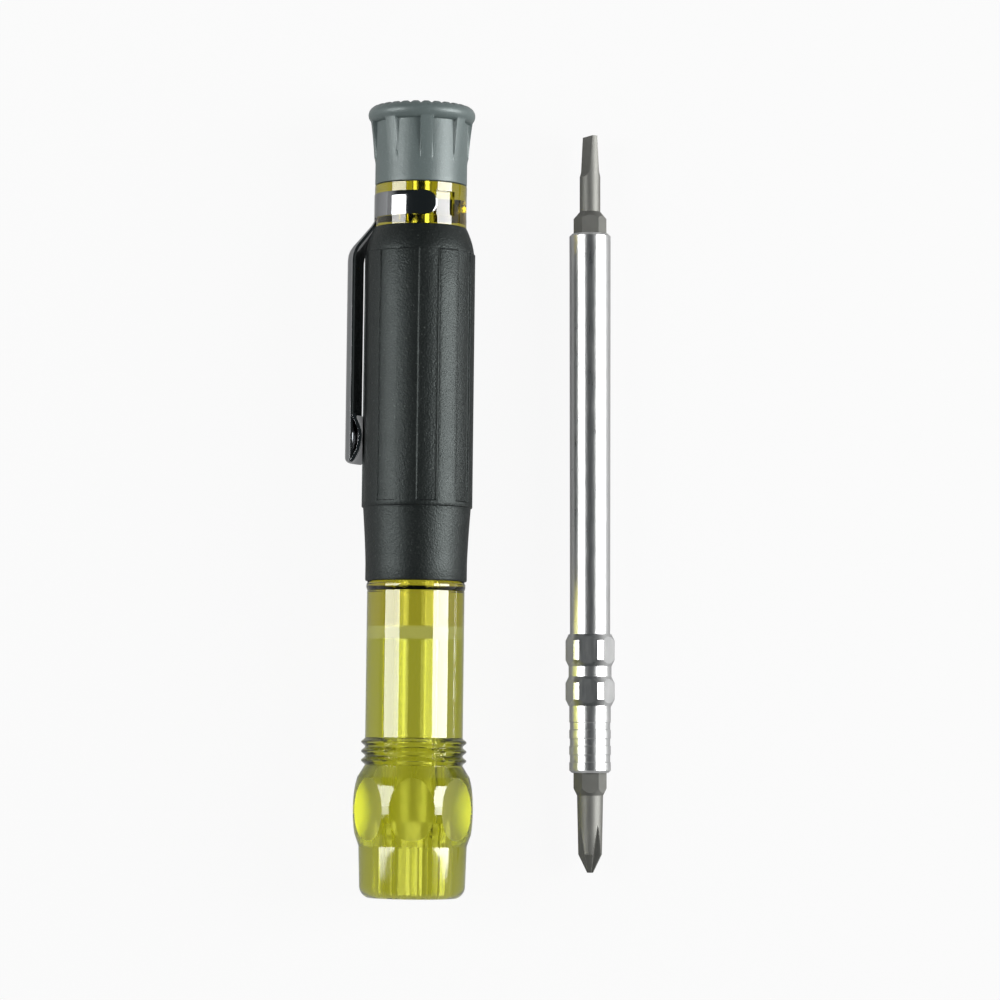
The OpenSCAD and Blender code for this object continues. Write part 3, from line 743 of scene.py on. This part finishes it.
@dataclass
class Grip:
    """The rubber sleeve: collar, ring, raised bands with soft edges, and shoulder."""

    axis: Axis
    foot: float = 43.55
    top: float = 92.71
    seat_r: float = 5.62
    foot_r: float = 7.04
    floor_r: float = 7.46
    band_r: float = 7.68
    ledge: float = 53.73
    band_foot: float = 54.43
    band_top: float = 89.03
    lip: float = 0.14
    top_r: float = 6.42
    shoulder_swell: float = 0.14
    inset: float = 0.1
    bands: int = 8
    steps: int = 96
    edge_r: float = 0.045
    piece: bpy.types.Object | None = None

    def _profile(self) -> list[tuple[float, float]]:
        """Draws the sleeve's section, from its seat round the outside and back.

        Returns:
            Radii and heights, in millimetres.
        """
        line = [
            (self.seat_r, self.foot), (self.foot_r - 0.22, self.foot), (self.foot_r - 0.06, self.foot + 0.07),
            (self.foot_r, self.foot + 0.24), (self.foot_r, self.foot + 2.4),
        ]
        rise, start = self.floor_r - self.foot_r, self.foot + 2.4
        for i in range(1, 9):
            share = i / 8
            line.append((self.foot_r + rise * (share ** 1.35), start + (self.ledge - 0.1 - start) * share))
        line += [
            (self.floor_r + 0.02, self.ledge), (self.band_r - 0.06, self.ledge + 0.05),
            (self.band_r, self.ledge + 0.15), (self.band_r, self.band_foot),
        ]
        band = self.band_top - self.band_foot
        line += [(self.band_r, self.band_foot + band * i / 6) for i in range(1, 7)]
        shoulder_r, shoulder = self.floor_r + 0.04, self.band_top + self.lip
        line += [(shoulder_r, shoulder)]
        for i in range(1, 13):
            share = i / 12
            swell = self.shoulder_swell * (1 - (2 * share - 1) ** 2)
            radius = shoulder_r - (shoulder_r - self.top_r) * share ** 1.12 + swell
            line.append((radius, shoulder + (self.top - self.band_top - self.lip) * share))
        return line + [(self.seat_r, self.top)]

    def build(self) -> None:
        """Spins the section, sinks the recesses between the bands and softens their edges."""
        mesh = turn_section(self._profile(), self.steps)
        pitch = 360.0 / self.bands
        for recess in range(self.bands):
            self._sink(mesh, pitch * (recess + 0.25))
        soften(mesh, [edge for edge in mesh.edges if self._is_band_edge(edge)], self.edge_r)
        self.piece = make_piece("grip_rubber_sleeve", mesh, self.axis.stand(), 40)

    def _is_band_edge(self, edge: bmesh.types.BMEdge) -> bool:
        """Whether an edge is a sharp one on the outside, among the bands."""
        middle = (edge.verts[0].co + edge.verts[1].co) / 2
        among = self.band_foot - 0.05 < middle.z < self.band_top + 0.2
        outside = Vector(middle.xy).length > self.floor_r - 0.1
        return among and outside and edge.calc_face_angle(0.0) > math.radians(25)

    def _sink(self, mesh: bmesh.types.BMesh, middle: float) -> None:
        """Insets the faces between two bands and presses them down to the floor.

        Args:
            mesh: The sleeve's bmesh.
            middle: Angle of the recess's middle, in degrees, from straight up towards +X.
        """
        half = 90.0 / self.bands
        chosen = []
        for face in mesh.faces:
            spot = face.calc_center_median()
            turn = math.degrees(math.atan2(spot.y, spot.x)) + 90 - middle
            inside = abs(math.remainder(turn, 360)) < half and Vector(spot.xy).length > self.floor_r - 0.05
            if inside and self.band_foot < spot.z < self.band_top + self.lip:
                chosen.append(face)
        bmesh.ops.inset_region(mesh, faces=chosen, thickness=self.inset, depth=0.0, use_even_offset=True)
        for vert in {vert for face in chosen for vert in face.verts}:
            flat = Vector((vert.co.x, vert.co.y, 0))
            vert.co = flat.normalized() * self.floor_r + Vector((0, 0, vert.co.z))

    def dress(self) -> None:
        """Gives the sleeve its rubber."""
        sleeve = self.piece
        RUBBER.dress(sleeve)
        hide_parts("grip_sleeve")
        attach(sleeve, "handle")


# ---------------------------------------------------------------- the cap


@dataclass
class Cap:
    """The spinning cap: skirt, ribs that flare to a lobed rim, dish and hollow."""

    axis: Axis
    foot: float = 98.68
    length: float = 11.05
    skirt_r: float = 6.39
    rim_r: float = 7.45
    round_r: float = 1.2
    ribs: int = 8
    rib_angle: float = 7.5
    rib_width: float = 1.65
    rib_start: float = 3.3
    rib_top_r: float = 7.24
    rib_edge: float = 0.12
    rib_flare: float = 0.28
    rib_swell: float = 0.13
    lobes: int = 28
    notch: float = 0.3
    notch_share: float = 0.62
    steps: int = 560
    dish_r: float = 5.02
    dish_depth: float = 1.2
    hollow_r: float = 4.6
    hollow_foot: float = 2.6
    pin_r: float = 1.32
    seat_r: float = 3.26
    seat_depth: float = 0.4
    piece: bpy.types.Object | None = None

    def _profile(self) -> list[tuple[float, float]]:
        """Draws the cap's section, closed through its hollow.

        Returns:
            Radii and heights, in millimetres.
        """
        centre_r, centre_h = self.rim_r - self.round_r, self.length - self.round_r
        line = [(self.pin_r, self.seat_depth), (self.seat_r, self.seat_depth), (self.seat_r, 0.0)]
        line += [(self.skirt_r - 0.16, 0.0), (self.skirt_r - 0.04, 0.05), (self.skirt_r, 0.2)]
        start = math.degrees(math.acos((self.skirt_r - centre_r) / self.round_r))
        low = centre_h - self.round_r * math.sin(math.radians(start))
        line += [(self.skirt_r, 0.2 + (low - 0.2) * i / 18) for i in range(1, 18)]
        for turn in (math.radians(-start + (150 + start) * i / 22) for i in range(23)):
            line.append((centre_r + self.round_r * math.cos(turn), centre_h + self.round_r * math.sin(turn)))
        rim = line[-1][1]
        dish = rim - self.dish_depth
        line += [(self.dish_r, rim), (self.dish_r, dish), (self.hollow_r, dish)]
        return line + [(self.hollow_r, self.hollow_foot), (self.pin_r, self.hollow_foot)]

    def build(self) -> None:
        """Spins the section, then raises the ribs and presses the notches between the lobes."""
        mesh = turn_section(self._profile(), self.steps)
        for vert in mesh.verts:
            self._raise_rib(vert)
            self._press_notch(vert)
        bmesh.ops.translate(mesh, verts=mesh.verts, vec=(0, 0, self.foot))
        bmesh.ops.recalc_face_normals(mesh, faces=mesh.faces)
        self.piece = make_piece("cap_ribbed_shell", mesh, self.axis.stand(), 50)

    def _raise_rib(self, vert: bmesh.types.BMVert) -> None:
        """Moves a vertex of the skirt out to the rib that it lies on, if it does.

        Args:
            vert: The vertex.
        """
        radius, height = Vector(vert.co.xy).length, vert.co.z
        top = self.length - self.round_r
        if radius < self.skirt_r - 0.02 or not self.rib_start < height < top:
            return
        turn = math.degrees(math.atan2(vert.co.y, vert.co.x)) + 90 - self.rib_angle
        aside = abs(math.remainder(turn, 360 / self.ribs)) * math.pi / 180 * self.skirt_r
        side = min(1.0, max(0.0, (self.rib_width / 2 + self.rib_edge / 2 - aside) / self.rib_edge))
        climb = (height - self.rib_start) / (top - self.rib_start)
        flare = (1 - self.rib_flare) * climb + self.rib_flare * climb ** 3
        crest = self.skirt_r + (self.rib_top_r - self.skirt_r) * flare
        crest += self.rib_swell * min(1.0, 12 * climb) * (1 - climb)
        if crest > radius:
            grown = radius + (crest - radius) * side * side * (3 - 2 * side)
            vert.co.xy = Vector(vert.co.xy) * grown / radius

    def _press_notch(self, vert: bmesh.types.BMVert) -> None:
        """Lowers a vertex of the rim's crest where it lies between two lobes.

        Args:
            vert: The vertex.
        """
        radius, height = Vector(vert.co.xy).length, vert.co.z
        centre_r, centre_h = self.rim_r - self.round_r, self.length - self.round_r
        if height < centre_h or radius < centre_r - self.round_r * 0.9:
            return
        turn = math.degrees(math.atan2(vert.co.y, vert.co.x)) + 90
        share = abs(math.remainder(turn, 360 / self.lobes)) / (180 / self.lobes)
        crest = (height - centre_h) / self.round_r
        vert.co.z -= self.notch * max(0.0, 1 - share / self.notch_share) ** 1.3 * max(0.0, crest) ** 3

    def dress(self) -> None:
        """Gives the cap its grey plastic and sets it on its own body, so that it spins."""
        shell = self.piece
        CAP_PLASTIC.dress(shell)
        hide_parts("cap_shell")
        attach(shell, "cap")


# ---------------------------------------------------------------- finishes of the nodes


@dataclass
class Dressing:
    """Finishes of the nodes. The four that a new piece replaces get one too, so that none is left bare."""

    finishes: dict[str, Finish] = field(default_factory=lambda: {
        "nose_piece": NOSE_PLASTIC,
        "handle_core": CORE_PLASTIC,
        "grip_sleeve": RUBBER,
        "cap_shell": CAP_PLASTIC,
        "cap_insert": CAP_PLASTIC,
        "pivot_pin": PIN_STEEL,
        "thrust_washer": NYLON,
        "shaft_body": SHAFT_STEEL,
        "bit_spring_upper": PIN_STEEL,
        "bit_spring_lower": PIN_STEEL,
        "slotted_bit": BIT_STEEL,
        "phillips_bit": BIT_STEEL,
        "clip_band": CHROME_PAINTED_DARK,
        "clip_arm": CHROME_PAINTED_DARK,
    })

    def dress(self) -> None:
        """Gives every node its finish."""
        for name, finish in self.finishes.items():
            finish.dress(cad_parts[name])
            log.info("%s: %s", name, finish.name)


# ---------------------------------------------------------------- studio


@dataclass
class Lamp:
    """A long soft box beside the object, of which only a share is seen through clear plastic."""

    name: str
    off_vertical: float
    spread: float
    power: float
    distance: float = 600.0
    length: float = 280.0
    through: float = 0.5
    behind: float = 8.0

    def build(self, aim: Vector) -> None:
        """Hangs the box as two lamps facing the object, of which only the one behind shows through plastic.

        The gap between them is needed because a ray finds only one of two lamps at the same place.

        Args:
            aim: The point that they face.
        """
        turn = math.radians(self.off_vertical)
        lamps = (("front", 1 - self.through, 0.0), ("through", self.through, self.behind))
        for ending, share, gap in lamps:
            data = bpy.data.lights.new(f"{self.name}_{ending}", "AREA")
            data.shape = "RECTANGLE"
            data.size = 2 * self.distance * math.tan(math.radians(self.spread / 2)) * MM
            data.size_y = self.length * MM
            data.energy = self.power * share
            lamp = bpy.data.objects.new(data.name, data)
            lamp.location = aim + Vector((math.sin(turn), 0, math.cos(turn))) * (self.distance + gap) * MM
            lamp.rotation_euler = (0, turn, 0)
            lamp.visible_transmission = ending == "through"
            bpy.context.scene.collection.objects.link(lamp)


@dataclass
class Studio:
    """Pale floor, two soft boxes, a dim ceiling and the camera.

    The floor is paper that the lamps light. A share of white is mixed in for each kind of ray, and for rays
    that have passed the plastic most of it gives way to a dim yellow glow: painted shade and painted yellow
    light standing in for the paper that lies under the plastic.
    """

    eye: tuple[float, float, float] = (2.744, -33.14, 536.35)
    aim: tuple[float, float, float] = (2.744, 0.16, 8.35)
    roll: float = 0.66
    lens: float = 137.4
    floor_size: float = 3000.0
    floor_drop: float = 0.02
    paper: tuple[float, float] = (0.46, 0.52)
    white_to_camera: float = 0.93
    white_to_metal: float = 0.14
    white_to_plastic: float = 0.12
    # Painted shade: a dim yellow glow that rays through the plastic see on the floor, in place of the paper's
    # shadow and the yellow light under the plastic.
    painted_shade_to_plastic: float = 0.84
    shade: Colour = (0.42, 0.412, 0.12)
    lit: tuple[float, float, float] = (0.0, 37.0, 8.0)
    sky: tuple[tuple[float, Colour], ...] = (
        (0.0, (0.45, 0.45, 0.45)), (0.2, (0.38, 0.38, 0.38)),
        (0.42, (0.03, 0.036, 0.038)), (1.0, (0.024, 0.03, 0.032)),
    )
    lamps: list[Lamp] = field(default_factory=lambda: [
        Lamp("softbox_left", -56.0, 38.0, 2.7),
        Lamp("softbox_right", 64.0, 42.0, 4.7),
    ])

    def build(self) -> None:
        """Makes the floor, the lamps, the world and the camera."""
        self._floor()
        for lamp in self.lamps:
            lamp.build(Vector(self.lit) * MM)
        self._world()
        self._camera()
        bpy.context.scene.view_settings.view_transform = "Standard"

    def _floor(self) -> None:
        """Lays the floor. It looks white to the camera, and keeps the object's shadow."""
        mesh = bmesh.new()
        bmesh.ops.create_grid(mesh, x_segments=2, y_segments=2, size=self.floor_size / 2)
        place = Matrix.Translation((0, 0, -self.floor_drop * MM)) @ Matrix.Scale(MM, 4)
        floor = make_piece("studio_floor", mesh, place, 30)
        made = bpy.data.materials.new("floor_paper")
        made.use_nodes = True
        sheet = Sheet(made.node_tree)
        camera, metal, plastic = (
            sheet.node("ShaderNodeLightPath", {}, {}, f"Is {kind} Ray")
            for kind in ("Camera", "Glossy", "Transmission")
        )
        dark, light = ((grey, grey, grey) for grey in self.paper)
        paper = sheet.node("ShaderNodeBsdfDiffuse", {}, {"Color": sheet.shade(sheet.noise(1.5), dark, light)})
        white = sheet.node("ShaderNodeEmission", {}, {"Color": (1.0, 1.0, 1.0), "Strength": 1.0})
        share = camera * self.white_to_camera + metal * self.white_to_metal + plastic * self.white_to_plastic
        mixed = sheet.node("ShaderNodeMixShader", {}, {0: share, 1: paper, 2: white})
        # Painted shade and painted yellow light: a glow, not lit paper, for rays that have passed the plastic.
        dim = sheet.node("ShaderNodeEmission", {}, {"Color": self.shade, "Strength": 1.0})
        under = sheet.node("ShaderNodeMixShader", {}, {0: plastic * self.painted_shade_to_plastic, 1: mixed, 2: dim})
        sheet.node("ShaderNodeOutputMaterial", {}, {"Surface": under})
        floor.data.materials.append(made)

    def _world(self) -> None:
        """A dim cool ceiling over a pale horizon, and white behind the object."""
        world = bpy.data.worlds.new("studio")
        bpy.context.scene.world = world
        world.use_nodes = True
        sheet = Sheet(world.node_tree)
        way = sheet.node("ShaderNodeTexCoord", {}, {}, "Generated")
        rise = sheet.node("ShaderNodeSeparateXYZ", {}, {0: way}, "Z")
        sky = sheet.node("ShaderNodeValToRGB", {"stops": self.sky}, {0: rise})
        dim = sheet.node("ShaderNodeBackground", {}, {"Color": sky, "Strength": 1.0})
        white = sheet.node("ShaderNodeBackground", {}, {"Color": (1.0, 1.0, 1.0), "Strength": 1.0})
        camera = sheet.node("ShaderNodeLightPath", {}, {}, "Is Camera Ray")
        mixed = sheet.node("ShaderNodeMixShader", {}, {0: camera, 1: dim, 2: white})
        sheet.node("ShaderNodeOutputWorld", {}, {"Surface": mixed})

    def _camera(self) -> None:
        """Sets up the camera above the object."""
        data = bpy.data.cameras.new("camera")
        data.lens = self.lens
        data.sensor_width = 36.0
        data.clip_start, data.clip_end = 0.01, 20.0
        camera = bpy.data.objects.new("camera", data)
        eye, aim = Vector(self.eye) * MM, Vector(self.aim) * MM
        back = (eye - aim).normalized()
        turn = math.radians(self.roll)
        right = Vector((-math.sin(turn), math.cos(turn), 0)).cross(back).normalized()
        basis = Matrix((right, back.cross(right), back)).transposed()
        camera.matrix_world = Matrix.Translation(eye) @ basis.to_4x4()
        bpy.context.scene.collection.objects.link(camera)
        bpy.context.scene.camera = camera


def main() -> None:
    """Builds the studio and the pieces in order."""
    logging.basicConfig(level=logging.INFO, format="%(name)s: %(message)s")
    Studio().build()
    axis = Axis.of_handle()
    Dressing().dress()
    for part in (ClipStrip(axis), Grip(axis), Cap(axis)):
        part.build()
        part.dress()


if __name__ == "__main__":
    main()
